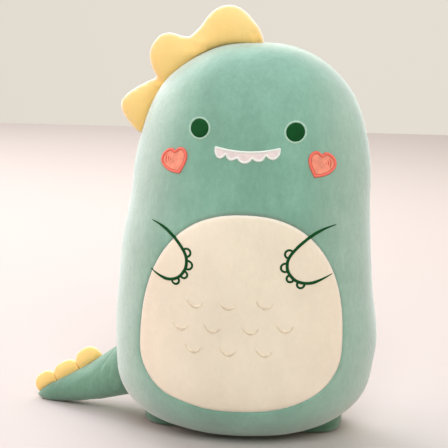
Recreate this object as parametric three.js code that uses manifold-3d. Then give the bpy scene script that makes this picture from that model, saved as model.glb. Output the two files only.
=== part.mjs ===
// Stuffed dinosaur pillow, standing upright. Millimetres, +Z up, face towards -Y.
// The origin is the middle of the flat patch that the body rests on.
import * as THREE from 'three';
import { mergeVertices } from 'three/addons/utils/BufferGeometryUtils.js';
import Module from 'manifold-3d';

const wasm = await Module();
wasm.setup();

// ---------------------------------------------------------------- driving dimensions

const degree = Math.PI / 180;
const gap = 0.4;              // air kept between two pieces that are sewn together
const fabricThickness = 3;    // short-pile velour with its backing

const body = {
  halfWidth: 165,
  frontDepth: 104,            // from the side seam to the belly
  backDepth: 92,              // from the side seam to the back
  centreHeight: 90.5,         // height of the widest section
  rise: 409.5,                // from the widest section to the top of the head
  drop: 94.5,                 // to the underside, before it flattens on the floor
  upperPower: 2.63,           // squareness of the outline above the widest section
  lowerPower: 2.3,            // and below it
  planPower: 2.15,            // squareness seen from above
  flare: 0.084,               // how much the head widens again towards the top
  waist: 0.049,               // slight narrowing at arm height
  waistHeight: 250,
  waistSpread: 75,
  lean: 0.03,                 // sideways lean of the head, per unit of height
  leanFrom: 60,
};
const seamPlane = 6;          // Y of the side seam that joins front and back panels

const threadHeight = 1.5;     // raised embroidery and felt
const scaleHeight = 1;        // flatter, tone-on-tone embroidery on the belly

// How far each side of the upright outline stands out from the plain form around a height.
const contour = [
  { height: 20, spread: 40, left: -1, right: -0.5 },
  { height: 75, spread: 40, left: -1.5, right: 0 },
  { height: 130, spread: 40, left: 1.5, right: 5 },
  { height: 190, spread: 40, left: 2.5, right: -1 },
  { height: 250, spread: 40, left: 5.5, right: -1 },
  { height: 310, spread: 40, left: -3, right: -4 },
  { height: 370, spread: 40, left: -1, right: -1 },
  { height: 420, spread: 30, left: 2, right: 2.5 },
  { height: 455, spread: 25, left: 4, right: 3 },
  { height: 485, spread: 20, left: -5, right: -0.5 },
];

const eye = { left: [-59.6, 401.7], right: [55.6, 400.2], radius: 11.2 };

// Heart outline from notch to tip and back: distance outboard of the face's middle, and height.
const heart = {
  inner: [[88.7, 373.6], [84.5, 377.2], [79.8, 377.8], [75, 375], [72.6, 368.6], [73.6, 361.5],
    [76.5, 354.5], [80.6, 346.6]],
  outer: [[80.6, 346.6], [88.5, 347], [96, 349], [102.5, 353.5], [106.2, 360.2], [104.2, 368.4],
    [97.7, 374.7], [92, 376], [88.7, 373.6]],
};

const teeth = {
  halfWidth: 39.6, top: 382.2, sag: 5,
  edges: [-39.6, -25.5, -11.6, 6.5, 22.5, 39.6],            // X where two teeth meet
  valleys: [376.5, 373, 369.1, 369.1, 373.3, 376.5],        // height of the outline there
  tips: [367.5, 365, 361.9, 364.1, 366.9],                  // height of each tooth's low point
};
const belly = { centre: 1, height: 133, halfWidth: 126.5, rise: 168, drop: 80.5, power: 2.35 };
const scales = {
  halfWidth: 10, depth: 8, stroke: 3.4, endShare: 0.45,
  // The low point of each one.
  places: [
    [-54.5, 186], [-13.5, 186], [31, 188],
    [-71.5, 156.2], [-31.5, 155.8], [15, 155.8], [56.7, 158.8],
    [-54, 129], [-11, 127.4], [33, 128],
  ],
};

// Embroidered arm: distance outboard of the hand, and height, from shoulder round to elbow.
const armRoute = [
  [47, 287], [37, 283.5], [27, 278], [17.5, 270], [9.5, 261.5], [2.8, 252], [0, 243.5], [0.5, 234],
  [4.5, 226], [10, 220.5], [17.5, 217.5], [25.5, 217.3], [33.5, 220], [40.5, 223.7], [46, 227],
];
const arm = {
  stroke: 3.8, endStroke: 1.2, fullFrom: 2.2,
  left: { hand: 67.1, stretch: 1, lift: 0 },
  right: { hand: 55.4, stretch: 1.17, lift: 1.7 },
};
const claws = {
  stroke: 2.6, offset: 0.6, sweep: 95 * degree,
  each: [
    { along: 0.448, radius: 4.9 },
    { along: 0.552, radius: 5.1 },
    { along: 0.65, radius: 4.3 },
    { along: 0.738, radius: 4.4 },
  ],
};

const crest = {
  // The edge: distance along the head seam, from just right of the top, and height above it.
  outline: [
    [-0.5, 0], [2, 9], [6, 17.5], [13, 27], [20.5, 36], [29, 44], [39, 47.5], [49, 45.5], [58.5, 39],
    [69, 30.5], [78, 27], [84, 26.3], [90.5, 32], [98, 41], [107, 46.4], [116, 45.2], [123, 42], [129, 36],
    [135, 25], [140.8, 12.6], [150, 18], [165, 29], [176, 35.2], [184, 37.2], [191.5, 33.2], [199.5, 24.4],
    [207, 13], [213, 0],
  ],
  tallest: 47.5,
  halfThickness: 11,
  thinnest: 0.3,              // share of the thickness left where the edge meets the head
  trim: 1.5,                  // length lost at each end to the turned seam
  endPower: 12,               // how abruptly the ends close
  lift: 2.6,                  // seam allowance between head and crest
  fabric: 2.4,
  zero: 20,                   // X from which distances along the head seam are counted
};

const tail = {
  root: [-130.5, 34, 79.5],
  length: 165,
  heading: 14.5 * degree,     // turned behind the -X direction
  tipHeight: 5.5,
  sag: 7.5,
  rootRadius: 46,
  tipRadius: 8,
  tipRoundFrom: 0.86,         // share of the length where the tip starts to round off
  rootRoundTo: 0.06,
  widthRatio: 0.84,
  fabric: 2.6,
  swing: 18 * degree,
  hinge: [-152, 40],
  clearance: 3,
};
// Padded lobes along the tail's top seam, from the tip: shares of the tail's length, and height.
const spines = {
  halfThickness: 5, sink: 4, power: 2.4,
  each: [
    { at: 0.902, before: 0.105, after: 0.084, height: 17.5 },
    { at: 0.706, before: 0.12, after: 0.11, height: 18 },
    { at: 0.504, before: 0.1, after: 0.102, height: 20 },
  ],
};

const foot = {
  spacing: 86, back: 30, halfWidth: 45, halfLength: 44, thickness: 25, seamHeight: 9,
  middle: 0.36,               // share of the thickness below the widest level
  edgePower: 2.6, planPower: 2.7,
  fabric: 2, splay: 7 * degree, hingeX: 54, hingeY: 26, clearance: 3,
};

const colours = {
  body: 0x88b49c, belly: 0xeadac2, crest: 0xfae08a, spine: 0xfcd27f,
  thread: 0x264f33, tooth: 0xe9dbd4, cheek: 0xf79a83, bellyThread: 0xe3d0b2, filling: 0xf4f2ec,
};

// ---------------------------------------------------------------- solids and booleans

function toSolid(geometry) {
  const plain = geometry.index ? geometry.clone() : geometry;
  plain.deleteAttribute('normal');
  plain.deleteAttribute('uv');
  const merged = mergeVertices(plain, 1e-3);
  return new wasm.Manifold(new wasm.Mesh({
    numProp: 3,
    vertProperties: new Float32Array(merged.attributes.position.array),
    triVerts: new Uint32Array(merged.index.array),
  }));
}

function toGeometry(solid) {
  const mesh = solid.getMesh();
  const geometry = new THREE.BufferGeometry();
  geometry.setAttribute('position', new THREE.BufferAttribute(new Float32Array(mesh.vertProperties), 3));
  geometry.setIndex(new THREE.BufferAttribute(new Uint32Array(mesh.triVerts), 1));
  geometry.computeVertexNormals();
  return geometry;
}

function boxSolid(low, high) {
  const size = high.map((value, axis) => value - low[axis]);
  const geometry = new THREE.BoxGeometry(...size);
  geometry.translate(...high.map((value, axis) => (value + low[axis]) / 2));
  return toSolid(geometry);
}

// A unit sphere with its pole axis along Z, bent to a shape by a function of direction.
function bentSphere(around, down, shape) {
  const geometry = new THREE.SphereGeometry(1, around, down);
  geometry.rotateX(Math.PI / 2);
  const position = geometry.attributes.position;
  const direction = new THREE.Vector3();
  for (let index = 0; index < position.count; index += 1) {
    direction.fromBufferAttribute(position, index).normalize();
    position.setXYZ(index, ...shape(direction));
  }
  return toSolid(geometry);
}

function signedPower(value, power) {
  return Math.sign(value) * Math.abs(value) ** power;
}

// ---------------------------------------------------------------- body form

function leanAt(height) {
  return body.lean * (height - body.leanFrom);
}

function bell(value, middle, spread) {
  return Math.exp(-(((value - middle) / spread) ** 2));
}

// Half-width of the upright outline on one side at a height, before the lean is added.
function outlineHalfWidth(level, height, side, grow) {
  const power = level > 0 ? body.upperPower : body.lowerPower;
  const round = Math.max(0, 1 - Math.abs(level) ** power) ** (1 / power);
  const narrowing = 1 - body.waist * bell(height, body.waistHeight, body.waistSpread);
  const flare = 1 + body.flare * Math.max(0, level);
  const standOut = contour
    .map((swell) => (side < 0 ? swell.left : swell.right) * bell(height, swell.height, swell.spread))
    .reduce((total, value) => total + value, 0);
  const across = (body.halfWidth + grow) * round * flare * narrowing + standOut * round * (2 - round);
  return { across, round: round * flare };
}

function bodyPoint(direction, grow) {
  const level = THREE.MathUtils.clamp(direction.z, -1, 1);
  const reach = (level > 0 ? body.rise : body.drop) + grow;
  const height = body.centreHeight + reach * level;
  const turn = Math.atan2(direction.y, direction.x);
  const outline = outlineHalfWidth(level, height, Math.cos(turn), grow);
  const depth = (Math.sin(turn) < 0 ? body.frontDepth : body.backDepth) + grow;
  const x = outline.across * signedPower(Math.cos(turn), 2 / body.planPower) + leanAt(height);
  const y = seamPlane + depth * outline.round * signedPower(Math.sin(turn), 2 / body.planPower);
  return [x, y, Math.max(height, -grow)];
}

function bodySolid(grow, around = 32, down = 26) {
  return bentSphere(around, down, (direction) => bodyPoint(direction, grow));
}

const far = 900;              // beyond the whole toy
const columnLength = 140;     // beyond the front of the body
const pole = 0.001;           // share of a form's length over which its last point closes
const frontHalf = boxSolid([-far, -far, -far], [far, seamPlane - gap / 2, far]);
const backHalf = boxSolid([-far, seamPlane + gap / 2, -far], [far, far, far]);

const bodyOuter = bodySolid(0);
const bodyInner = bodySolid(-fabricThickness, 24, 18);
const bodyShell = bodyOuter.subtract(bodyInner);

// ---------------------------------------------------------------- belly and embroidery

// A layer of even thickness that lies over the body fabric.
function coverLayer(low, high) {
  return bodySolid(high).subtract(bodySolid(low));
}

const threadLayer = coverLayer(gap, gap + threadHeight);
const scaleLayer = coverLayer(gap, gap + scaleHeight);

// A straight column that runs forwards from an outline drawn in X and Z.
function forwardColumn(shape, segments = 12) {
  const geometry = new THREE.ExtrudeGeometry(shape, {
    depth: columnLength, bevelEnabled: false, curveSegments: segments,
  });
  geometry.rotateX(Math.PI / 2);
  return toSolid(geometry);
}

// Cuts an outline out of the front of a layer.
function frontPatch(layer, shape, segments) {
  return layer.intersect(forwardColumn(shape, segments));
}

function onBody(x, z) {
  return new THREE.Vector2(x + leanAt(z), z);
}

// An outline of a line of stitching: the route widened by half the stroke on each side.
function strokeShape(route, steps, widthAt) {
  const left = [];
  const right = [];
  for (let step = 0; step <= steps; step += 1) {
    const t = step / steps;
    const point = route.getPoint(t);
    const tangent = route.getTangent(t);
    const half = widthAt(t) / 2;
    left.push(new THREE.Vector2(point.x - tangent.y * half, point.y + tangent.x * half));
    right.push(new THREE.Vector2(point.x + tangent.y * half, point.y - tangent.x * half));
  }
  return new THREE.Shape([...left, ...right.reverse()]);
}

function eyeShape(name) {
  const centre = onBody(...eye[name]);
  return new THREE.Shape().absarc(centre.x, centre.y, eye.radius, 0, 2 * Math.PI, false);
}

function heartShape(side) {
  const smooth = (route, steps) => new THREE.SplineCurve(route.map(([out, z]) => onBody(side * out, z)))
    .getPoints(steps)
    .slice(1);
  return new THREE.Shape([...smooth(heart.inner, 14), ...smooth(heart.outer, 18)]);
}

function teethShape() {
  const points = [];
  const toothSteps = 6;
  teeth.tips.forEach((tip, index) => {
    for (let step = 0; step < toothSteps; step += 1) {
      const share = step / toothSteps;
      const x = THREE.MathUtils.lerp(teeth.edges[index], teeth.edges[index + 1], share);
      const valley = THREE.MathUtils.lerp(teeth.valleys[index], teeth.valleys[index + 1], share);
      const scallop = (1 - (2 * share - 1) ** 2) ** 0.7;
      points.push(onBody(x, valley + (tip - valley) * scallop));
    }
  });
  const topSteps = 8;
  for (let step = 0; step <= topSteps; step += 1) {
    const u = 1 - (2 * step) / topSteps;
    points.push(onBody(u * teeth.halfWidth, teeth.top - teeth.sag * (1 - u * u)));
  }
  return new THREE.Shape(points);
}

function armCurve(side, { hand, stretch, lift }) {
  return new THREE.SplineCurve(armRoute.map(([out, z]) => onBody(side * (hand + out * stretch), z + lift)));
}

const armSteps = 26;

function armShape(curve) {
  const fullness = (t) => Math.min(1, arm.fullFrom * Math.sin(Math.PI * t));
  const taper = (t) => THREE.MathUtils.lerp(arm.endStroke, arm.stroke, fullness(t));
  return strokeShape(curve, armSteps, taper);
}

// A small open loop that stands out from the hand, one for each claw.
function clawShape(side, curve, { along, radius }) {
  const start = curve.getPointAt(along);
  const tangent = curve.getTangentAt(along);
  const outward = Math.atan2(tangent.x, -tangent.y) + (side > 0 ? Math.PI : 0);
  const direction = new THREE.Vector2(Math.cos(outward), Math.sin(outward));
  const centre = start.clone().addScaledVector(direction, arm.stroke / 2 + claws.offset);
  const loop = new THREE.EllipseCurve(centre.x, centre.y, radius, radius,
    outward - claws.sweep, outward + claws.sweep, false);
  return strokeShape(loop, 7, () => claws.stroke);
}

function bellyShape(grow) {
  const points = [];
  const steps = 48;
  for (let step = 0; step < steps; step += 1) {
    const t = (2 * Math.PI * step) / steps;
    const x = (belly.halfWidth + grow) * signedPower(Math.cos(t), 2 / belly.power);
    const reach = (Math.sin(t) > 0 ? belly.rise : belly.drop) + grow;
    const z = reach * signedPower(Math.sin(t), 2 / belly.power);
    points.push(onBody(belly.centre + x, belly.height + z));
  }
  return new THREE.Shape(points);
}

function scaleShape(x, z) {
  const low = onBody(x, z);
  const arc = new THREE.EllipseCurve(low.x, low.y + scales.depth, scales.halfWidth, scales.depth,
    Math.PI, 2 * Math.PI, false);
  const taper = (t) => scales.stroke * THREE.MathUtils.lerp(scales.endShare, 1, Math.sin(Math.PI * t));
  return strokeShape(arc, 7, taper);
}

// ---------------------------------------------------------------- crest

// The head's side seam from the top round to the cheek, as points with distances along it.
const headSeam = (() => {
  const points = [];
  for (let turned = -10; turned <= 95; turned += 1) {
    const level = Math.cos(turned * degree);
    const height = body.centreHeight + body.rise * level;
    const side = turned < 0 ? 1 : -1;
    points.push([side * outlineHalfWidth(level, height, side, 0).across + leanAt(height), height]);
  }
  let total = 0;
  const seam = points.map(([x, z], index) => {
    if (index > 0) {
      total += Math.hypot(x - points[index - 1][0], z - points[index - 1][1]);
    }
    return { x, z, distance: total };
  });
  const first = seam.findIndex((point) => point.x < crest.zero);
  const before = seam[first - 1];
  const share = (before.x - crest.zero) / (before.x - seam[first].x);
  const offset = before.distance + share * (seam[first].distance - before.distance);
  return seam.map((point) => ({ ...point, distance: point.distance - offset }));
})();

function seamPoint(distance) {
  const after = headSeam.findIndex((point) => point.distance > distance);
  const low = headSeam[after - 1];
  const high = headSeam[after];
  const share = (distance - low.distance) / (high.distance - low.distance);
  return new THREE.Vector2(low.x, low.z).lerp(new THREE.Vector2(high.x, high.z), share);
}

function seamNormal(distance) {
  const reach = 4;
  const along = seamPoint(distance + reach).sub(seamPoint(distance - reach)).normalize();
  return new THREE.Vector2(along.y, -along.x);
}

function crestHeight(distance) {
  const after = crest.outline.findIndex(([place]) => place >= distance);
  const [lowPlace, lowHeight] = crest.outline[Math.max(0, after - 1)];
  const [highPlace, highHeight] = crest.outline[Math.max(1, after)];
  return THREE.MathUtils.mapLinear(distance, lowPlace, highPlace, lowHeight, highHeight);
}

// A closed lobed pad that stands on the head seam. Its cross-sections are ellipses.
function crestSolid(inset, around = 8, down = 36) {
  const start = crest.outline[0][0] + crest.trim + inset * 2;
  const end = crest.outline.at(-1)[0] - crest.trim - inset * 2;
  return bentSphere(around, down, (direction) => {
    const travel = Math.acos(THREE.MathUtils.clamp(direction.z, -1, 1)) / Math.PI;
    const turn = Math.atan2(direction.y, direction.x);
    const distance = start + (end - start) * travel;
    const top = crestHeight(distance);
    const close = Math.sqrt(Math.max(0, 1 - Math.abs(2 * travel - 1) ** crest.endPower));
    const radius = Math.max(0.3, (top - crest.lift) / 2 - inset) * close;
    const fullness = THREE.MathUtils.lerp(crest.thinnest, 1, top / crest.tallest);
    const half = (crest.halfThickness * fullness - inset) * close;
    const rise = (crest.lift + top) / 2 - radius * Math.cos(turn);
    const base = seamPoint(distance);
    const normal = seamNormal(distance);
    return [base.x + normal.x * rise, seamPlane + half * Math.sin(turn), base.y + normal.y * rise];
  });
}

// ---------------------------------------------------------------- tail

const tailHeading = new THREE.Vector2(-Math.cos(tail.heading), Math.sin(tail.heading));

function tailAxis(t) {
  return new THREE.Vector3(
    tail.root[0] + tailHeading.x * tail.length * t,
    tail.root[1] + tailHeading.y * tail.length * t,
    tail.root[2] + (tail.tipHeight - tail.root[2]) * t - 4 * tail.sag * t * (1 - t),
  );
}

function tailRadius(t) {
  const past = Math.max(0, (t - tail.tipRoundFrom) / (1 - tail.tipRoundFrom));
  const tipRound = Math.sqrt(Math.max(0, 1 - past ** 2));
  return THREE.MathUtils.lerp(tail.rootRadius, tail.tipRadius, t) * tipRound;
}

function tailSolid(inset, around = 14, down = 14) {
  return bentSphere(around, down, (direction) => {
    const travel = Math.acos(THREE.MathUtils.clamp(direction.z, -1, 1)) / Math.PI;
    const turn = Math.atan2(direction.y, direction.x);
    const t = travel * (1 - inset / tail.length);
    const axis = tailAxis(t);
    const rootClose = Math.sqrt(Math.max(0, 1 - Math.max(0, 1 - t / tail.rootRoundTo) ** 2));
    const radius = Math.max(0.2, tailRadius(t) - inset) * rootClose * Math.min(1, (1 - travel) / pole);
    const side = radius * tail.widthRatio * Math.cos(turn);
    const z = axis.z + radius * Math.sin(turn);
    return [axis.x + tailHeading.y * side, axis.y - tailHeading.x * side, Math.max(z, 0.5 + inset)];
  });
}

// The body, turned about an upright hinge through a range: the room that a swinging piece needs.
function sweptBody(grow, hinge, range) {
  const still = bodySolid(grow, 20, 14);
  let swept = still;
  for (const share of [-1, 1]) {
    const turned = still.translate([-hinge[0], -hinge[1], 0])
      .rotate([0, 0, (share * range) / degree])
      .translate([hinge[0], hinge[1], 0]);
    swept = swept.add(turned);
  }
  return swept;
}

function spineSolid(spine, grow) {
  return bentSphere(8, 10, (direction) => {
    const travel = 1 - (Math.acos(THREE.MathUtils.clamp(direction.z, -1, 1)) / Math.PI) * 2;
    const turn = Math.atan2(direction.y, direction.x);
    const reach = (travel < 0 ? spine.before : spine.after) + grow / tail.length;
    const t = Math.min(1 - pole, spine.at + reach * travel);
    const axis = tailAxis(t);
    const profile = Math.max(0, 1 - Math.abs(travel) ** spines.power) ** (1 / spines.power);
    const height = ((spine.height + spines.sink + grow) * profile * (1 + Math.sin(turn))) / 2;
    const side = (spines.halfThickness + grow) * Math.sqrt(profile) * Math.cos(turn);
    const slope = spineSlope(t);
    const along = -height * slope.x;
    const z = axis.z + tailRadius(t) + (height - spines.sink) * slope.y;
    return [
      axis.x + tailHeading.x * along - tailHeading.y * side,
      axis.y + tailHeading.y * along + tailHeading.x * side,
      z,
    ];
  });
}

// Direction of the tail's top line, as its run and rise for each unit of length.
function spineSlope(t) {
  const step = 0.01;
  const low = tailAxis(t - step).z + tailRadius(t - step);
  const high = tailAxis(t + step).z + tailRadius(Math.min(1, t + step));
  const slope = new THREE.Vector2(2 * step * tail.length, high - low).normalize();
  return new THREE.Vector2(slope.y, slope.x);
}

// ---------------------------------------------------------------- feet

function footSolid(side, inset) {
  return bentSphere(16, 7, (direction) => {
    const level = direction.z;
    const round = Math.max(0, 1 - Math.abs(level) ** foot.edgePower) ** (1 / foot.edgePower);
    const turn = Math.atan2(direction.y, direction.x);
    const across = (foot.halfWidth - inset) * round * signedPower(Math.cos(turn), 2 / foot.planPower);
    const along = (foot.halfLength - inset) * round * signedPower(Math.sin(turn), 2 / foot.planPower);
    const z = foot.thickness * foot.middle + (foot.thickness * (1 - foot.middle) - inset) * level;
    return [side * foot.spacing + across, foot.back + along, Math.max(z, inset)];
  });
}

// ---------------------------------------------------------------- assembly

const dinosaur = new THREE.Group();

function addPiece(name, solid, colour, roughness = 0.95) {
  const mesh = new THREE.Mesh(
    toGeometry(solid),
    new THREE.MeshStandardMaterial({ color: colour, roughness, metalness: 0 }),
  );
  mesh.name = name;
  dinosaur.add(mesh);
}

const sides = [['left', -1], ['right', 1]];

function addBody() {
  const opening = forwardColumn(bellyShape(gap));
  addPiece('body_front_panel', bodyShell.intersect(frontHalf).subtract(opening), colours.body);
  addPiece('body_back_panel', bodyShell.intersect(backHalf), colours.body);
  addPiece('body_filling', bodySolid(-fabricThickness - gap, 24, 18), colours.filling);
  addPiece('belly_panel', frontPatch(bodyShell, bellyShape(0)), colours.belly);
}

function addFace() {
  for (const [name, side] of sides) {
    addPiece(`eye_${name}`, frontPatch(threadLayer, eyeShape(name), 14), colours.thread, 0.6);
    addPiece(`cheek_${name}`, frontPatch(threadLayer, heartShape(side)), colours.cheek, 0.85);
  }
  addPiece('teeth', frontPatch(threadLayer, teethShape()), colours.tooth, 0.8);
}

function addArms() {
  for (const [name, side] of sides) {
    const curve = armCurve(side, arm[name]);
    const moat = frontPatch(threadLayer, strokeShape(curve, armSteps, () => arm.stroke + 2 * gap));
    addPiece(`arm_${name}`, frontPatch(threadLayer, armShape(curve)), colours.thread, 0.6);
    claws.each.forEach((size, index) => {
      const claw = frontPatch(threadLayer, clawShape(side, curve, size)).subtract(moat);
      addPiece(`claw_${name}_${index + 1}`, claw, colours.thread, 0.6);
    });
  }
}

function addScales() {
  scales.places.forEach(([x, z], index) => {
    const name = `belly_scale_${String(index + 1).padStart(2, '0')}`;
    addPiece(name, frontPatch(scaleLayer, scaleShape(x, z)), colours.bellyThread, 0.7);
  });
}

function addCrest() {
  const shell = crestSolid(0).subtract(crestSolid(crest.fabric, 6, 20));
  addPiece('crest_front_panel', shell.intersect(frontHalf), colours.crest);
  addPiece('crest_back_panel', shell.intersect(backHalf), colours.crest);
  addPiece('crest_filling', crestSolid(crest.fabric + gap, 6, 20), colours.filling);
}

function addTail() {
  const room = sweptBody(tail.clearance, tail.hinge, tail.swing);
  const innerRoom = sweptBody(tail.clearance + tail.fabric, tail.hinge, tail.swing);
  const fillingRoom = sweptBody(tail.clearance + tail.fabric + gap, tail.hinge, tail.swing);
  const outer = tailSolid(0).subtract(room);
  const shell = outer.subtract(tailSolid(tail.fabric).subtract(innerRoom));
  const half = (side) => {
    const geometry = new THREE.BoxGeometry(far, far, far);
    geometry.translate(0, side * (far / 2 + gap / 2), 0);
    geometry.rotateZ(-tail.heading);
    geometry.translate(tail.root[0], tail.root[1], 0);
    return toSolid(geometry);
  };
  addPiece('tail_front_panel', shell.intersect(half(-1)), colours.body);
  addPiece('tail_back_panel', shell.intersect(half(1)), colours.body);
  addPiece('tail_filling', tailSolid(tail.fabric + gap).subtract(fillingRoom), colours.filling);
  // Each spine is tucked behind the next one towards the body.
  const tailRoom = tailSolid(-gap);
  spines.each.forEach((spine, index) => {
    let solid = spineSolid(spine, 0).subtract(tailRoom);
    if (index + 1 < spines.each.length) {
      solid = solid.subtract(spineSolid(spines.each[index + 1], gap));
    }
    addPiece(`tail_spine_${index + 1}`, solid, colours.spine);
  });
}

function addFeet() {
  const tailRoom = tailSolid(-1.5);
  for (const [name, side] of sides) {
    const hinge = [side * foot.hingeX, foot.hingeY];
    const carve = (inset) => footSolid(side, inset)
      .subtract(sweptBody(foot.clearance + inset, hinge, foot.splay))
      .subtract(tailRoom);
    const outer = carve(0);
    const shell = outer.subtract(carve(foot.fabric));
    const low = boxSolid([-far, -far, -far], [far, far, foot.seamHeight - gap / 2]);
    const high = boxSolid([-far, -far, foot.seamHeight + gap / 2], [far, far, far]);
    addPiece(`foot_${name}_upper`, shell.intersect(high), colours.body);
    addPiece(`foot_${name}_sole`, shell.intersect(low), colours.body);
    addPiece(`foot_${name}_filling`, carve(foot.fabric + gap), colours.filling);
  }
}

addBody();
addFace();
addArms();
addScales();
addCrest();
addTail();
addFeet();

export default dinosaur;
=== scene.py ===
"""Looks of the stuffed dinosaur pillow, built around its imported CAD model."""
import math

import bmesh
import bpy
import numpy as np
from mathutils import Matrix, Vector, noise
from mathutils.bvhtree import BVHTree
from mathutils.kdtree import KDTree


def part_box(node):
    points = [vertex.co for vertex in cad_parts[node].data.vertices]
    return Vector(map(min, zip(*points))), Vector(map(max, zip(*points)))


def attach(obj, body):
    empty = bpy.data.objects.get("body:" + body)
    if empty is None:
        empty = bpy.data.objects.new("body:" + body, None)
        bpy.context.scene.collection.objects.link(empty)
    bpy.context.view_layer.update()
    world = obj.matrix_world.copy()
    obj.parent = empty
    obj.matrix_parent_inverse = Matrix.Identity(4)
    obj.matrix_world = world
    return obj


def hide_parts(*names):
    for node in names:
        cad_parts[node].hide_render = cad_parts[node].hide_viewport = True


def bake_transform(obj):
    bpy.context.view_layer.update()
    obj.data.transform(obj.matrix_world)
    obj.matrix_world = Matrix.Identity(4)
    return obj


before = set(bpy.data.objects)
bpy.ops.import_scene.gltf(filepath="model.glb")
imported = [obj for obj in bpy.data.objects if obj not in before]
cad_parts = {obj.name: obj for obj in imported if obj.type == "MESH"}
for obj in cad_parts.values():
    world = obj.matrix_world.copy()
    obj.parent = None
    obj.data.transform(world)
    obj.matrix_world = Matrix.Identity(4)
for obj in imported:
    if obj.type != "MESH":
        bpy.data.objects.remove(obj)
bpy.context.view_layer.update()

MM = 0.001


# ---- sizes, in millimetres

FRONT_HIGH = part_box("body_front_panel")[1]
BACK_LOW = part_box("body_back_panel")[0]
SEAM_Y = (FRONT_HIGH[1] / MM + BACK_LOW[1] / MM) / 2
HEAD_TOP = FRONT_HIGH[2] / MM
WIDEST_Z = 90.5    # the body's widest level
FORM_LOW, SEWN_LOW, STUFFED_LOW = 0.3, 0.5, 0.4    # how close to the floor the undersides come
BODY = dict(
    half_width=165.0, front=104.0, back=92.0, rise=HEAD_TOP - WIDEST_Z, drop=94.5,
    upper=2.63, lower=2.3, plan=2.15, flare=0.084,
    waist=0.049, waist_z=250.0, waist_spread=75.0, lean=0.03, lean_from=60.0,
)
CONTOUR = (    # around each height and spread, how far the left and right sides stand out
    (20, 40, -1, -0.5), (75, 40, -1.5, 0), (130, 40, 1.5, 5), (190, 40, 2.5, -1), (250, 40, 5.5, -1),
    (310, 40, -3, -4), (370, 40, -1, -1), (420, 30, 2, 2.5), (455, 25, 4, 3), (485, 20, -5, -0.5))
BELLY = dict(centre=1.0, z=133.0, half_width=126.5, rise=168.0, drop=80.5, power=2.35)


# ---- small helpers

def signed_power(value, power):
    return np.sign(value) * np.abs(value) ** power


def smooth_step(value, low, high):
    t = np.clip((value - low) / (high - low), 0.0, 1.0)
    return t * t * (3 - 2 * t)


def bell(distance, reach):
    """1 where the distance is nothing, falling smoothly to almost 0 at twice the reach."""
    return np.exp(-((distance / reach) ** 2))


def angles(count):
    """Angles evenly round a circle, without the first again at the end."""
    return np.linspace(0, 2 * np.pi, count, endpoint=False)


def circle(spin):
    return np.stack([np.cos(spin), np.sin(spin)], 1)


def unit(vectors):
    return vectors / np.maximum(np.linalg.norm(vectors, axis=-1, keepdims=True), 1e-9)


def run_along(points):
    """How far along a line each of its points lies."""
    return np.concatenate([[0], np.cumsum(np.linalg.norm(np.diff(points, axis=0), axis=1))])


def nearest(points, others):
    """For each point, which of the others is nearest, and how far away it is."""
    tree = KDTree(len(others))
    for i, p in enumerate(others):
        tree.insert(Vector(p), i)
    tree.balance()
    found = [tree.find(Vector(p)) for p in points]
    return np.array([index for _, index, _ in found]), np.array([distance for _, _, distance in found])


def above_floor(points, lowest):
    """The points, with those that would be lower than this moved up to it."""
    points[..., 2] = np.maximum(points[..., 2], lowest)
    return points

def grain(points, size, octaves=2, seed=0.0):
    """Smooth noise from -1 to 1 at each point, in millimetres, with lumps of about that size."""
    out = np.empty(len(points))
    for i, p in enumerate(points):
        v = Vector((p[0] / size + seed, p[1] / size - seed, p[2] / size + 2 * seed))
        total, weight = 0.0, 1.0
        for _ in range(octaves):
            total += weight * noise.noise(v)
            v, weight = v * 2.03, weight * 0.5
        out[i] = total
    return out


def new_mesh(name, points_mm, faces):
    mesh = bpy.data.meshes.new(name)
    mesh.from_pydata((np.asarray(points_mm) * MM).tolist(), [], [tuple(f) for f in faces])
    mesh.validate()
    mesh.polygons.foreach_set("use_smooth", np.ones(len(mesh.polygons), bool))
    mesh.update()
    obj = bpy.data.objects.new(name, mesh)
    bpy.context.scene.collection.objects.link(obj)
    return obj


def coords(obj):
    out = np.empty(len(obj.data.vertices) * 3)
    obj.data.vertices.foreach_get("co", out)
    return out.reshape(-1, 3) / MM


def set_coords(obj, points_mm):
    obj.data.vertices.foreach_set("co", (np.asarray(points_mm) * MM).ravel())
    obj.data.update()


def normals(obj):
    out = np.empty(len(obj.data.vertices) * 3)
    obj.data.vertex_normals.foreach_get("vector", out)
    return out.reshape(-1, 3)


def grid_faces(rows, columns, closed, start=0):
    """Quads of a grid whose points run row by row; closed joins the last column to the first."""
    faces = []
    for row in range(rows - 1):
        for column in range(columns if closed else columns - 1):
            after = (column + 1) % columns
            a = start + row * columns + column
            b = start + row * columns + after
            faces.append((a, b, b + columns, a + columns))
    return faces


def tube_faces(rows, around):
    """Quads of a tube and a cap on each end."""
    last = (rows - 1) * around
    return grid_faces(rows, around, True) + [tuple(range(around))[::-1], tuple(range(last, last + around))]


def turn_outward(obj, merge_mm=0.0):
    """Makes a mesh's faces point outward, after merging points that are closer than merge_mm."""
    bm = bmesh.new()
    bm.from_mesh(obj.data)
    if merge_mm:
        bmesh.ops.remove_doubles(bm, verts=bm.verts, dist=merge_mm * MM)
    bmesh.ops.recalc_face_normals(bm, faces=bm.faces)
    bm.to_mesh(obj.data)
    bm.free()

def apply_modifiers(obj):
    graph = bpy.context.evaluated_depsgraph_get()
    mesh = bpy.data.meshes.new_from_object(obj.evaluated_get(graph))
    obj.modifiers.clear()
    old = obj.data
    obj.data = mesh
    bpy.data.meshes.remove(old)


def subdivide(obj):
    modifier = obj.modifiers.new("finer", "SUBSURF")
    modifier.levels = modifier.render_levels = 1
    apply_modifiers(obj)


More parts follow.
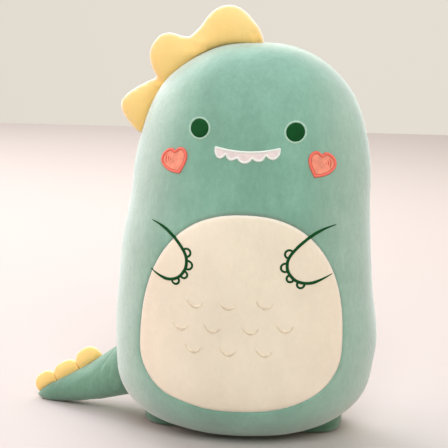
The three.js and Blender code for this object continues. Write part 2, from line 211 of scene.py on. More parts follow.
def inflate(obj, pinned, pressure, cap_mm, frames, spare=0.0):
    """Blows a closed cloth up between its pinned seams, moving no point more than cap_mm."""
    before = coords(obj)
    group = obj.vertex_groups.new(name="seams")
    group.add([int(i) for i in np.nonzero(pinned)[0]], 1.0, "REPLACE")
    cloth = obj.modifiers.new("Cloth", "CLOTH")
    settings = cloth.settings
    settings.quality = 6
    settings.mass = 0.15
    settings.tension_stiffness = settings.compression_stiffness = 15.0
    settings.shear_stiffness = 6.0
    settings.bending_stiffness = 0.4
    settings.use_pressure = True
    settings.uniform_pressure_force = pressure
    settings.shrink_min = -spare
    settings.vertex_group_mass = "seams"
    settings.effector_weights.gravity = 0.0
    cloth.collision_settings.use_collision = False
    cloth.point_cache.frame_start = 1
    cloth.point_cache.frame_end = frames
    scene = bpy.context.scene
    for number in range(1, frames + 1):
        scene.frame_set(number)
    apply_modifiers(obj)
    scene.frame_set(1)
    moved = coords(obj) - before
    length = np.linalg.norm(moved, axis=1, keepdims=True)
    limit = cap_mm * np.tanh(length / cap_mm) / np.maximum(length, 1e-9)
    set_coords(obj, before + moved * limit)
    obj.vertex_groups.clear()


# ---- body form

def lean_at(z):
    return BODY["lean"] * (z - BODY["lean_from"])


def outline_half_width(level, z, side):
    """Half-width of the upright outline on one side, and how far the form has closed, level by level."""
    power = np.where(level > 0, BODY["upper"], BODY["lower"])
    closing = np.maximum(0.0, 1 - np.abs(level) ** power) ** (1 / power)
    stand_out = sum(np.where(side < 0, left, right) * bell(z - at, spread)
                    for at, spread, left, right in CONTOUR) * closing * (2 - closing)
    closing = closing * (1 + BODY["flare"] * np.maximum(0.0, level))
    narrowing = 1 - BODY["waist"] * bell(z - BODY["waist_z"], BODY["waist_spread"])
    return BODY["half_width"] * closing * narrowing + stand_out, closing


def body_points(directions):
    """The body's surface in each direction, given as unit vectors."""
    level = np.clip(directions[:, 2], -1, 1)
    z = WIDEST_Z + np.where(level > 0, BODY["rise"], BODY["drop"]) * level
    turn = np.arctan2(directions[:, 1], directions[:, 0])
    across, closing = outline_half_width(level, z, np.cos(turn))
    depth = np.where(np.sin(turn) < 0, BODY["front"], BODY["back"])
    x = across * signed_power(np.cos(turn), 2 / BODY["plan"]) + lean_at(z)
    y = SEAM_Y + depth * closing * signed_power(np.sin(turn), 2 / BODY["plan"])
    return above_floor(np.stack([x, y, z], 1), FORM_LOW)


def disk_to_direction(disk, front):
    """A hemisphere laid out flat, as a disk of radius pi/2, back to unit vectors."""
    angle = np.linalg.norm(disk, axis=1)
    spin = np.arctan2(disk[:, 1], disk[:, 0])
    y = np.cos(angle) * (-1 if front else 1)
    return np.stack([np.sin(angle) * np.cos(spin), y, np.sin(angle) * np.sin(spin)], 1)


def front_disk(x, z):
    """Where a point of the front, given by X and Z, lies on the flat disk."""
    level = (z - WIDEST_Z) / np.where(z > WIDEST_Z, BODY["rise"], BODY["drop"])
    across, _ = outline_half_width(level, z, x - lean_at(z))
    turn_cos = signed_power(np.clip((x - lean_at(z)) / across, -1, 1), BODY["plan"] / 2)
    round_it = np.sqrt(np.maximum(0.0, 1 - level**2))
    dx = round_it * turn_cos
    angle = np.arcsin(np.clip(np.hypot(dx, level), 0, 1))
    spin = np.arctan2(level, dx)
    return np.stack([angle * np.cos(spin), angle * np.sin(spin)], -1)


def belly_outline(count):
    """X and Z around the belly's seam, which wavers a little at the lower left."""
    t = angles(count)
    x = BELLY["half_width"] * signed_power(np.cos(t), 2 / BELLY["power"])
    reach = np.where(np.sin(t) > 0, BELLY["rise"], BELLY["drop"])
    z = BELLY["z"] + reach * signed_power(np.sin(t), 2 / BELLY["power"])
    waver = 0.9 * np.sin(9 * t + 1.0) * bell(t - 4.1, 0.5)
    return x + BELLY["centre"] + lean_at(z), z + waver


def polar_radius(points, centre, angles):
    offset = points - centre
    spin = np.arctan2(offset[:, 1], offset[:, 0]) % (2 * np.pi)
    order = np.argsort(spin)
    return np.interp(angles, spin[order], np.linalg.norm(offset, axis=1)[order], period=2 * np.pi)


AROUND = 288
RINGS = {"belly": 44, "front": 64, "back": 76}
COARSE_AROUND = 96
COARSE_RINGS = {"belly": 12, "front": 16, "back": 20}
BELLY_HUB_Z = 150.0
BELLY_HUB = front_disk(np.array([BELLY["centre"] + lean_at(BELLY_HUB_Z)]), np.array([BELLY_HUB_Z]))[0]
HUB_SIZE = 0.004    # the middle of a polar grid, closed by one face
OUTLINE_POINTS = 720
MERGE_MM = 0.02


def panel_points(panel, around, rings):
    """A panel's polar grid, [ring, column], from its middle or inner seam to its outer seam."""
    spin = angles(around)
    if panel == "back":
        centre, inner, outer = np.zeros(2), np.full(around, HUB_SIZE), np.full(around, np.pi / 2)
    else:
        centre = BELLY_HUB
        belly_seam = polar_radius(front_disk(*belly_outline(OUTLINE_POINTS)), centre, spin)
        if panel == "belly":
            inner, outer = belly_seam * HUB_SIZE, belly_seam
        else:
            side_seam = circle(np.linspace(0, 2 * np.pi, OUTLINE_POINTS)) * np.pi / 2
            inner, outer = belly_seam, polar_radius(side_seam, centre, spin)
    share = np.linspace(0, 1, rings)[:, None]
    radius = inner * (1 - share) + outer * share
    disk = centre + radius[:, :, None] * circle(spin)
    points = body_points(disk_to_direction(disk.reshape(-1, 2), panel != "back"))
    return points.reshape(rings, around, 3)


def panel_faces(panel, rings, around, start=0):
    """Faces of a panel's polar grid; the front is open in the middle, where the belly is."""
    faces = grid_faces(rings, around, True, start)
    if panel != "front":
        faces.append(tuple(range(start, start + around))[::-1])
    return faces if panel == "back" else [face[::-1] for face in faces]


def simulated_crown():
    """How far pressure lifts each panel's cloth between its seams, on a coarse grid, in millimetres."""
    grids = {name: panel_points(name, COARSE_AROUND, rings) for name, rings in COARSE_RINGS.items()}
    faces, pinned, starts = [], [], [0]
    for name, grid in grids.items():
        faces += panel_faces(name, len(grid), COARSE_AROUND, starts[-1])
        seam = np.zeros(grid.shape[:2], bool)
        seam[-1] = True
        seam[0] = name == "front"
        pinned.append((seam | (grid[..., 2] < SEWN_LOW)).ravel())
        starts.append(starts[-1] + seam.size)
    points = np.concatenate([grid.reshape(-1, 3) for grid in grids.values()])
    obj = new_mesh("crown_study", points, faces)
    turn_outward(obj, MERGE_MM)
    rest, out = coords(obj), normals(obj)
    home = nearest(points, rest)[0]
    held = np.zeros(len(rest), bool)
    held[home[np.concatenate(pinned)]] = True
    inflate(obj, held, pressure=6.0, cap_mm=7.0, frames=16)
    lift = ((coords(obj) - rest) * out).sum(1)[home]
    bpy.data.objects.remove(obj)
    parts = np.split(lift, starts[1:-1])
    return {name: part.reshape(grid.shape[:2]) for (name, grid), part in zip(grids.items(), parts)}


def upsample(coarse, rings, around):
    """A coarse field over a panel, carried to its fine grid and smoothed over one coarse cell."""
    coarse_rings, coarse_around = coarse.shape
    rows = np.linspace(0, coarse_rings - 1, rings)
    tall = np.array([np.interp(rows, np.arange(coarse_rings), column) for column in coarse.T]).T
    columns = np.arange(around) * coarse_around / around
    fine = np.array([np.interp(columns, np.arange(coarse_around), row, period=coarse_around)
                     for row in tall])
    width = max(3, int(around / coarse_around) | 1)
    for _ in range(2):
        fine = sum(np.roll(fine, k, 1) for k in range(-(width // 2), width // 2 + 1)) / width
        padded = np.pad(fine, ((2, 2), (0, 0)), mode="edge")
        fine = sum(padded[k:k + rings] for k in range(5)) / 5
    return fine


# ---- materials

MIX_SHARE, MIX_FIRST, MIX_SECOND, MIX_RESULT = 0, 6, 7, 2    # a colour mix node's sockets


class Nodes:
    """A new material. Its methods return a (node, output) pair, which they also take as a value."""

    def __init__(self, name):
        self.material = bpy.data.materials.new(name)
        self.material.use_nodes = True
        self.tree = self.material.node_tree
        self.tree.nodes.clear()
        self.shader = self.add("ShaderNodeBsdfPrincipled")
        self.feed(self.add("ShaderNodeOutputMaterial"), "Surface", (self.shader, "BSDF"))
        self.position = (self.add("ShaderNodeTexCoord"), "Object")

    def add(self, kind, inputs=(), **settings):
        node = self.tree.nodes.new(kind)
        for key, value in settings.items():
            setattr(node, key, value)
        for into, value in dict(inputs).items():
            self.feed(node, into, value)
        return node

    def feed(self, node, into, value):
        """Gives a node's input a number, a colour or another node's output."""
        socket = node.inputs[into]
        if isinstance(value, tuple) and isinstance(value[0], bpy.types.Node):
            self.tree.links.new(value[0].outputs[value[1]], socket)
        elif socket.type == "RGBA":
            socket.default_value = (*value, 1)
        else:
            socket.default_value = value

    def attribute(self, name):
        return self.add("ShaderNodeAttribute", attribute_name=name), "Fac"

    def noise(self, scale, detail, roughness=0.6, stretch=None):
        place = self.position
        if stretch:
            place = (self.add("ShaderNodeMapping", {"Vector": place, "Scale": stretch}), "Vector")
        inputs = {"Vector": place, "Scale": scale, "Detail": detail, "Roughness": roughness}
        return self.add("ShaderNodeTexNoise", inputs), "Fac"

    def ramp(self, source, *stops):
        """A colour ramp through stops, each a place from 0 to 1 and a colour."""
        node = self.add("ShaderNodeValToRGB", {"Fac": source})
        elements = node.color_ramp.elements
        elements[0].position, elements[0].color = stops[0][0], (*stops[0][1], 1)
        elements[1].position, elements[1].color = stops[-1][0], (*stops[-1][1], 1)
        for place, colour in stops[1:-1]:
            elements.new(place).color = (*colour, 1)
        return node, "Color"

    def mix(self, share, first, second, blend="MIX"):
        inputs = {MIX_SHARE: share, MIX_FIRST: first, MIX_SECOND: second}
        return self.add("ShaderNodeMix", inputs, data_type="RGBA", blend_type=blend), MIX_RESULT

    def math(self, operation, *values):
        return self.add("ShaderNodeMath", enumerate(values), operation=operation), 0

    def bump(self, height, strength, distance, under=None):
        node = self.add("ShaderNodeBump", {"Height": height, "Strength": strength, "Distance": distance})
        if under:
            self.feed(node, "Normal", under)
        return node, "Normal"

    def set(self, **values):
        """Sets the shader's own inputs."""
        for key, value in values.items():
            self.feed(self.shader, key.replace("_", " "), value)


WHITE = (1.0, 1.0, 1.0)


def linear(red, green, blue):
    """An sRGB colour, 0 to 255, as linear light."""
    shares = [channel / 255 for channel in (red, green, blue)]
    return tuple(s / 12.92 if s <= 10 / 255 else ((s + 0.055) / 1.055) ** 2.4 for s in shares)


def shade(colour, factor):
    return tuple(min(1.0, c * factor) for c in colour)


def toward(colour, other, share):
    return tuple(a * (1 - share) + b * share for a, b in zip(colour, other))


def velour(name, colour, sheen=0.55, brushed=0.10, edge=WHITE, edge_share=0.0, root=None, worn=1.0,
           roughness=0.9, gloss=0.12, painted_sheen=None):
    """Short-pile velour with brushed patches, a seam colour (painted shade in green seams, a painted
    highlight on fin rims), painted shade at fin roots and painted sheen on flanks.
    """
    nodes = Nodes(name)
    patches = nodes.noise(11.0, 4.0, stretch=(1.0, 1.0, 0.6))
    pile = nodes.ramp(patches, (0.30, shade(colour, 1 - brushed)), (0.52, colour),
                      (0.72, toward(shade(colour, 1 + brushed), WHITE, 0.05)))
    # painted sheen: the colour turns paler and greyer on the sideways-facing flanks
    if painted_sheen:
        pile = nodes.mix(nodes.attribute("flank"), pile, painted_sheen)
    streaks = nodes.noise(60.0, 4.0, stretch=(1.0, 1.0, 0.45))
    nap = nodes.noise(170.0, 4.0, 0.65, stretch=(1.0, 1.0, 0.6))
    specks = nodes.noise(1100.0, 2.0)
    for share, shades in (
            (0.35, nodes.ramp(streaks, (0.3, (0.72, 0.74, 0.73)), (0.7, WHITE))),
            (0.6, nodes.ramp(nap, (0.30, (0.84, 0.87, 0.86)), (0.52, (0.97, 0.97, 0.97)),
                             (0.68, (1.10, 1.08, 1.09)))),
            (0.5, nodes.ramp(specks, (0.32, (0.80, 0.80, 0.80)), (0.62, WHITE)))):
        pile = nodes.mix(share * worn, pile, shades, "MULTIPLY")
    # painted shade: a deeper colour near the base of the crest and spines
    if root:
        pile = nodes.mix(nodes.attribute("root"), pile, root)
    # at the seam: painted shade in the seam grooves of the green pieces, a painted highlight along the fins'
    # rims, and a lighter belly
    at_seam = nodes.math("MULTIPLY", nodes.attribute("seam"), edge_share)
    relief = nodes.bump(specks, 0.55, 0.0005, under=nodes.bump(nap, 0.45, 0.0012))
    nodes.set(Base_Color=nodes.mix(at_seam, pile, edge), Normal=relief, Roughness=roughness,
              Specular_IOR_Level=gloss, Sheen_Weight=sheen, Sheen_Roughness=0.55,
              Sheen_Tint=toward(colour, WHITE, 0.9))
    return nodes.material


def satin(name, colour, pitch_mm=0.55, contrast=0.35, roughness=0.5, sheen=0.25, dark_lines=0.0,
          border=None, mark=None, gloss=0.3, variety=1.0):
    """Satin-stitched thread: close ridges that follow the piece's stitch attribute, in millimetres, with
    painted shade in the grooves between them.
    """
    nodes = Nodes(name)
    turned = nodes.math("MULTIPLY", nodes.attribute("stitch"), 2 * math.pi / pitch_mm)
    waver = nodes.math("MULTIPLY", nodes.noise(900.0, 2.0, 0.5), 2.4)
    wave = nodes.math("SINE", nodes.math("ADD", turned, waver))
    ridge = nodes.math("ADD", nodes.math("MULTIPLY", wave, 0.5), 0.5)
    # painted shade in the grooves between the stitches
    groove_shade = nodes.math("MULTIPLY", nodes.math("SUBTRACT", 1.0, ridge), contrast)
    varied = nodes.ramp(nodes.noise(130.0, 3.0), (0.3, shade(colour, 1 - 0.22 * variety)), (0.55, colour),
                        (0.75, shade(colour, 1 + 0.18 * variety)))
    dark = shade(colour, 0.45)
    threads = nodes.mix(groove_shade, varied, dark)
    if border:
        threads = nodes.mix(nodes.attribute("border"), threads, nodes.mix(groove_shade, border, shade(border, 0.6)))
    # painted shadow lines along the edges of raised borders
    lined = nodes.math("MULTIPLY", nodes.attribute("mark"), dark_lines)
    nodes.set(Base_Color=nodes.mix(lined, threads, mark or dark), Normal=nodes.bump(ridge, 0.5, 0.0003),
              Roughness=roughness, Specular_IOR_Level=gloss, Sheen_Weight=sheen, Sheen_Roughness=0.4,
              Sheen_Tint=toward(colour, WHITE, 0.5))
    return nodes.material


SAGE = linear(122, 177, 151)
MATERIALS = dict(
    # darker at its seams, a painted shade in the grooves; paler on its flanks, a painted sheen
    sage=velour("sage_velour", SAGE, sheen=1.0, brushed=0.2, edge=shade(SAGE, 0.6), edge_share=0.35,
                roughness=0.5, gloss=0.42, painted_sheen=linear(154, 192, 171)),
    # a darker copy of the sage, painted shade for the tail and feet, also darker at their seams as painted
    # shade
    shaded_sage=velour("shaded_sage_velour", linear(100, 152, 124), sheen=0.6, brushed=0.2,
                     edge=linear(60, 104, 80), edge_share=0.4),
    cream=velour("cream_velour", linear(245, 234, 210), sheen=0.3, brushed=0.05, edge=(1.0, 0.97, 0.9),
                 edge_share=0.6, worn=0.25),
    # near-white at the rim, a painted highlight; deeper orange at the base, painted shade
    yellow=velour("yellow_velour", linear(255, 217, 136), sheen=0.5, brushed=0.05, edge=(1.0, 0.98, 0.94),
                  edge_share=1.0, root=linear(255, 202, 112), worn=0.2),
    amber=velour("amber_velour", linear(255, 218, 130), sheen=0.5, brushed=0.05, edge=(1.0, 0.95, 0.8),
                 edge_share=0.5, root=linear(255, 198, 98), worn=0.2),
    pale_pile=velour("pale_pile", linear(176, 214, 190), sheen=0.6),
    green_thread=satin("green_thread", linear(9, 80, 34), contrast=0.25, roughness=0.75, sheen=0.0,
                       gloss=0.15),
    belly_thread=satin("belly_thread", linear(247, 232, 202), contrast=0.15),
    # painted shadow lines along the heart's border, in a darker red
    coral=satin("coral_satin", linear(250, 156, 128), pitch_mm=0.9, contrast=0.15, dark_lines=0.85,
                border=linear(250, 120, 100), mark=linear(196, 66, 50)),
    coral_line=satin("coral_line", linear(214, 72, 56), contrast=0.1),
    # a faint painted shade line inside the teeth's border
    tooth=satin("tooth_satin", linear(244, 228, 224), contrast=0.06, roughness=0.8, dark_lines=0.10,
                border=linear(240, 244, 234), variety=0.35),
)


def finish_piece(obj, material, body, slot, *nodes, bend=None):
    """Gives a piece its material and puts it on a body; with a bend, it instead fixes the piece's placement
    into its points, bending nothing. The slot is not used.
    """
    obj.data.materials.clear()
    obj.data.materials.append(MATERIALS[material])
    if bend:
        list(bend)
        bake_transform(obj)
    else:
        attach(obj, body)
    if nodes:
        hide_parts(*nodes)
    return obj


def attribute(obj, name, values):
    layer = obj.data.attributes.get(name) or obj.data.attributes.new(name, "FLOAT", "POINT")
    layer.data.foreach_set("value", np.asarray(values, np.float32))


# ---- body panels

FABRIC = 2.2    # thickness of the body's cloth
SEAM_DIP = {"side": (2.6, 3.2), "belly": (1.1, 2.0)}    # depth and reach of the groove at a seam
SEAM_PUCKER = {"side": (0.9, 9.0), "belly": (0.25, 5.0)}    # height and reach of the gathers beside it
PUCKER_LENGTH = 11.0
SEAM_HOLDS = 5.0    # how far from a seam it holds the cloth back
SEAM_SHADE = 1.6
LUMP_HEIGHT, LUMP_SIZE = 0.9, 85.0


def shaped_panel(panel, grid, out, crown):
    """One panel of the body: crowned by the simulation, slightly lumpy, and drawn in along its seams."""
    rings, around = grid.shape[:2]
    flat = grid.reshape(-1, 3)
    steps = np.linalg.norm(np.diff(grid, axis=0), axis=2)
    from_inner = np.concatenate([np.zeros((1, around)), np.cumsum(steps, 0)])
    from_outer = from_inner[-1] - from_inner
    edges = [("belly" if panel == "belly" else "side", from_outer.ravel(), grid[-1])]
    if panel == "front":
        edges.append(("belly", from_inner.ravel(), grid[0]))
    lift = upsample(crown, rings, around).ravel() + LUMP_HEIGHT * grain(flat, LUMP_SIZE, 2, 3.1)
    for _, distance, _ in edges:
        lift *= 1 - bell(distance, SEAM_HOLDS)
    near = np.zeros(len(flat))
    for kind, distance, seam_line in edges:
        depth, reach = SEAM_DIP[kind]
        height, spread = SEAM_PUCKER[kind]
        pucker = height * grain(np.tile(seam_line, (rings, 1)), PUCKER_LENGTH, 1, 7.7)
        fade = np.exp(-distance / spread) * smooth_step(distance, 0.0, 2.5)
        lift += fade * pucker - depth * bell(distance, reach)
        near = np.maximum(near, bell(distance, SEAM_SHADE))
    moved = above_floor(flat + out * lift[:, None], STUFFED_LOW)
    obj = new_mesh("belly" if panel == "belly" else f"body_{panel}", moved, panel_faces(panel, rings, around))
    # painted shade along the seams of the green panels, and a lighter seam colour on the belly
    attribute(obj, "seam", near)
    # painted sheen: a mottled share of paler colour where the surface faces sideways
    sideways = np.abs(out[:, 0])
    flank = 0.85 * smooth_step(sideways, 0.2, 0.7) * (1 - 0.55 * smooth_step(sideways, 0.65, 1.0))
    attribute(obj, "flank", flank * (1 + 0.3 * grain(flat, 30.0, 2, 5.2)))
    return obj


def whole_body_normals(grids):
    """Outward directions at every grid point, the same on both sides of a seam."""
    result = {}
    for name, grid in grids.items():
        along = np.gradient(grid, axis=0)
        across = np.roll(grid, -1, 1) - np.roll(grid, 1, 1)
        result[name] = unit(np.cross(along, across))
        if (result[name][..., 1].mean() > 0) != (name == "back"):
            result[name] = -result[name]
    for first, ring_a, second, ring_b in (("belly", -1, "front", 0), ("front", -1, "back", -1)):
        line_a, line_b = grids[first][ring_a], grids[second][ring_b]
        side_a, side_b = result[first][ring_a].copy(), result[second][ring_b].copy()
        result[first][ring_a] = unit(side_a + side_b[nearest(line_a, line_b)[0]])
        result[second][ring_b] = unit(side_b + side_a[nearest(line_b, line_a)[0]])
    return {name: out.reshape(-1, 3) for name, out in result.items()}


def body_panels():
    crown = simulated_crown()
    grids = {panel: panel_points(panel, AROUND, rings) for panel, rings in RINGS.items()}
    out = whole_body_normals(grids)
    return {panel: shaped_panel(panel, grids[panel], out[panel], crown[panel]) for panel in RINGS}


def give_thickness(obj, thickness):
    modifier = obj.modifiers.new("fabric", "SOLIDIFY")
    modifier.thickness = thickness * MM
    modifier.offset = -1
    apply_modifiers(obj)


# ---- embroidery

class Surface:
    """The finished front of the body, for laying embroidery on."""

    def __init__(self, *objects):
        points, faces = [], []
        for obj in objects:
            start = len(points)
            points += [tuple(p) for p in coords(obj)]
            faces += [tuple(start + i for i in polygon.vertices) for polygon in obj.data.polygons]
        self.tree = BVHTree.FromPolygons(points, faces)

    def hit(self, x, z):
        """The first point met from in front, and the direction the surface faces there."""
        return self.tree.ray_cast(Vector((x, -300.0, z)), Vector((0, 1, 0)))[:2]

    def lay(self, flat, height):
        """Points at each X and Z of flat that stand this high off the surface."""
        out = np.empty((len(flat), 3))
        for i, (x, z) in enumerate(flat):
            place, normal = self.hit(x, z)
            if place is None:    # it slipped through the line between two panels
                place, normal = self.hit(x + 0.05, z + 0.05)
            out[i] = place + normal * height[i]
        return out


def star_grid(outline, centre, rings):
    """Rings of points out to an outline that is star-shaped about its centre, and their faces."""
    share = np.sin(np.linspace(0.02, 1, rings) * np.pi / 2)
    flat = (centre + share[:, None, None] * (outline - centre)).reshape(-1, 2)
    around = len(outline)
    return share, flat, grid_faces(rings, around, True) + [tuple(range(around))[::-1]]


def face_front(obj):
    """Makes an open patch's faces agree, and point away from the body."""
    turn_outward(obj)
    if normals(obj)[:, 1].mean() > 0 and coords(obj)[:, 1].mean() < 0:
        obj.data.flip_normals()


def stroke(name, surface, line, widths, height, sink=0.4, sides=8):
    """A rounded line of satin stitch along points in X and Z."""
    line = np.asarray(line)
    tangent = unit(np.gradient(line, axis=0))
    across = np.stack([-tangent[:, 1], tangent[:, 0]], 1)
    angle = np.linspace(0, np.pi, sides + 1)
    widths = np.asarray(widths)[:, None]
    flat = line[:, None] + across[:, None] * (np.cos(angle) * widths / 2)[..., None]
    tall = (widths / widths.max()) ** 0.7 * height * np.sin(angle) ** 0.8 - sink
    columns = sides + 1
    points = surface.lay(flat.reshape(-1, 2), tall.ravel())
    obj = new_mesh(name, points, grid_faces(len(line), columns, False))
    close_under(obj, len(line), columns)
    face_front(obj)
    attribute(obj, "stitch", np.repeat(run_along(line), columns))
    return obj


def close_under(obj, rows, columns):
    """Closes a strip's open underside and both ends."""
    bm = bmesh.new()
    bm.from_mesh(obj.data)
    bm.verts.ensure_lookup_table()
    grid = [bm.verts[row * columns:(row + 1) * columns] for row in range(rows)]
    for row, after in zip(grid, grid[1:]):
        bm.faces.new((row[0], after[0], after[-1], row[-1]))
    bm.faces.new(grid[0])
    bm.faces.new(grid[-1])
    bm.to_mesh(obj.data)
    bm.free()


def spline(points, count):
    """A smooth Catmull-Rom line through a few points, evenly spaced."""
    p = np.asarray(points, float)
    p = np.concatenate([2 * p[:1] - p[1:2], p, 2 * p[-1:] - p[-2:-1]])
    t = np.linspace(0, 1, 24, endpoint=False)[:, None]
    spans = [0.5 * (2 * b + (c - a) * t + (2 * a - 5 * b + 4 * c - d) * t**2 + (3 * b - a - 3 * c + d) * t**3)
             for a, b, c, d in zip(p, p[1:], p[2:], p[3:])]
    dense = np.concatenate(spans + [p[-2:-1]])
    run = run_along(dense)
    even = np.linspace(0, run[-1], count)
    return np.stack([np.interp(even, run, dense[:, k]) for k in (0, 1)], 1)


def leaned(points):
    points = np.asarray(points, float)
    return np.stack([points[:, 0] + lean_at(points[:, 1]), points[:, 1]], 1)


SIDES = (("left", -1), ("right", 1))
EYES = dict(left=(-59.6, 401.7), right=(55.6, 400.2))
EYE_RADIUS, EYE_HEIGHT, EYE_SINK = 11.2, 1.5, 0.5
HEART_CENTRE = (90.0, 362.0)
HEART_INNER = (
    (88.7, 373.6), (84.5, 377.2), (79.8, 377.8), (75, 375), (72.6, 368.6), (73.6, 361.5), (76.5, 354.5),
    (80.6, 346.6))
HEART_OUTER = (
    (80.6, 346.6), (88.5, 347), (96, 349), (102.5, 353.5), (106.2, 360.2), (104.2, 368.4), (97.7, 374.7),
    (92, 376), (88.7, 373.6))
CURLS = ((7.3, 1.9), (4.5, 1.7), (1.9, 1.5))    # reach and width
TEETH = dict(
    half_width=39.6, top=382.2, sag=5.0,
    edges=(-39.6, -25.5, -11.6, 6.5, 22.5, 39.6),
    valleys=(376.5, 371.7, 368.5, 368.1, 372.2, 376.5),
    tips=(367.3, 365.5, 362.4, 364.9, 367.4))
ARM_ROUTE = (
    (47, 287), (37, 283.5), (27, 278), (17.5, 270), (9.5, 261.5), (2.8, 252), (0, 243.5), (0.5, 234),
    (4.5, 226), (10, 220.5), (17.5, 217.5), (25.5, 217.3), (33.5, 220), (40.5, 223.7), (46, 227))
ARMS = dict(left=(67.1, 1.0, 0.0), right=(55.4, 1.17, 1.7))    # hand, stretch and lift
ARM_WIDTH, ARM_END_WIDTH = 3.9, 1.1
CLAWS = ((0.448, 4.9), (0.552, 5.1), (0.65, 4.3), (0.738, 4.4))  # place along the arm, radius
CLAW_WIDTH, CLAW_HALF_TURN = 2.9, 102
SCALES = (
    (-54.5, 186), (-13.5, 186), (31, 188), (-71.5, 156.2), (-31.5, 155.8), (15, 155.8), (56.7, 158.8),
    (-54, 129), (-11, 127.4), (33, 128))
SCALE_HALF_WIDTH, SCALE_DEPTH, SCALE_WIDTH, SCALE_TILT = 10.0, 8.5, 3.8, 0.16


def eyes(surface):
    for name, _ in SIDES:
        centre = leaned([EYES[name]])[0]
        outline = centre + EYE_RADIUS * circle(angles(64))
        share, flat, faces = star_grid(outline, centre, 14)
        dome = EYE_HEIGHT * np.sqrt(np.clip(1 - share**8, 0, 1)) - EYE_SINK * share**12
        eye = new_mesh(f"eye_{name}", surface.lay(flat, np.repeat(dome, len(outline))), faces)
        face_front(eye)
        attribute(eye, "stitch", flat @ (math.cos(0.3), math.sin(0.3)))
        finish_piece(eye, "green_thread", "body", "dark_thread", f"eye_{name}")
        rim = centre + (EYE_RADIUS + 1.0) * circle(np.linspace(0, 2 * np.pi, 73))
        halo = stroke(f"eye_{name}_pile", surface, rim, [2.4] * len(rim), 0.9, 0.25)
        finish_piece(halo, "pale_pile", "body", "body_velour")


def edge_distance(points, outline):
    """How far each point is from a closed outline."""
    along = np.roll(outline, -1, axis=0) - outline
    length = np.maximum((along**2).sum(1), 1e-9)
    best = np.full(len(points), np.inf)
    for a, d, squared in zip(outline, along, length):
        share = np.clip(((points - a) @ d) / squared, 0, 1)
        best = np.minimum(best, np.linalg.norm(points - a - share[:, None] * d, axis=1))
    return best


def bordered(points, outline, width, fill, bead):
    """An applique's height, where it is border, and the distance from its edge.

    It is flat inside, fill high, with a rounded satin border of this width, bead high, along its edge.
    """
    gap = edge_distance(points, outline)
    rounded = np.sqrt(np.clip(1 - ((gap - width / 2) / (width / 2)) ** 2, 0, 1)) * bead
    height = np.maximum(rounded, fill * smooth_step(gap, 0.0, width)) - 0.4 * np.exp(-gap / 0.25)
    return height, smooth_step(-gap, -width - 0.2, -width + 0.2), gap


def cheeks(surface):
    heart = np.concatenate([spline(HEART_INNER, 61)[:-1], spline(HEART_OUTER, 81)[:-1]])
    taper = 0.35 + 0.65 * np.sin(np.linspace(0, np.pi, 24))
    for name, side in SIDES:
        outline = leaned(heart * (side, 1))
        centre = leaned([(side * HEART_CENTRE[0], HEART_CENTRE[1])])[0]
        _, flat, faces = star_grid(outline, centre, 30)
        rise, border, gap = bordered(flat, outline, width=3.2, fill=1.0, bead=1.7)
        cheek = new_mesh(f"cheek_{name}", surface.lay(flat, rise), faces)
        face_front(cheek)
        beside, _ = nearest(np.pad(flat, ((0, 0), (0, 1))), np.pad(outline, ((0, 0), (0, 1))))
        attribute(cheek, "stitch", np.where(border > 0.5, run_along(outline)[beside], flat @ (1, 0.4)))
        # painted shadow: dark lines where the raised border meets the velour and the flat fill
        attribute(cheek, "mark", bell(gap - 3.3, 0.45) + bell(gap, 0.5))
        attribute(cheek, "border", border)
        finish_piece(cheek, "coral", "body", "cheek_felt", f"cheek_{name}")
        for number, (reach, width) in enumerate(CURLS, 1):
            spin = np.linspace(-1.15, 1.3, 24) * side + (0 if side > 0 else np.pi)
            hook = centre + (side * 1.8, 0.8) + reach * circle(spin) * (1, 1.2)
            curl = stroke(f"cheek_{name}_curl_{number}", surface, hook, width * taper, 1.6, 0.3, sides=6)
            finish_piece(curl, "coral_line", "body", "cheek_felt")


def teeth_edges(u):
    """The X, and the upper and lower edge's Z, across the teeth from u -1 to 1, not yet leaned."""
    x = u * TEETH["half_width"]
    high = TEETH["top"] - TEETH["sag"] * (1 - u * u)
    edges, valleys, tips = (np.array(TEETH[k], float) for k in ("edges", "valleys", "tips"))
    tooth = np.clip(np.searchsorted(edges, x, side="right") - 1, 0, len(tips) - 1)
    share = (x - edges[tooth]) / (edges[tooth + 1] - edges[tooth])
    valley = valleys[tooth] + (valleys[tooth + 1] - valleys[tooth]) * share
    scallop = np.clip(1 - (2 * share - 1) ** 2, 0, 1) ** 0.7
    corner = 1.2 * np.clip((np.abs(u) - 0.93) / 0.07, 0, 1) ** 2.5
    return x, high - corner, np.minimum(valley + (tips[tooth] - valley) * scallop, high - 1.0)


def teeth(surface):
    columns, rows = 241, 26
    quarter = np.pi / 2 * 0.97    # the columns gather towards both ends
    x, high, low = teeth_edges(np.sin(np.linspace(-quarter, quarter, columns)) / math.sin(quarter))
    v = (0.5 - 0.5 * np.cos(np.linspace(0, np.pi, rows)))[:, None]
    flat = leaned(np.stack([np.repeat(x[None], rows, 0), low + (high - low) * v], -1).reshape(-1, 2))
    outline = leaned(np.concatenate([np.stack([x, low], 1), np.stack([x, high], 1)[::-1]]))
    rise, border, gap = bordered(flat, outline, width=2.7, fill=0.8, bead=1.5)
    obj = new_mesh("teeth", surface.lay(flat, rise), grid_faces(rows, columns, False))
    face_front(obj)
    attribute(obj, "stitch", flat[:, 1])
    # painted shade: a dark line along the inner edge of the raised border
    attribute(obj, "mark", bell(gap - 2.8, 0.35))
    attribute(obj, "border", border)
    give_thickness(obj, 0.8)
    finish_piece(obj, "tooth", "body", "tooth_felt", "teeth")


def dark_stroke(node, *shape, **settings):
    finish_piece(stroke(node, *shape, **settings), "green_thread", "body", "dark_thread", node)


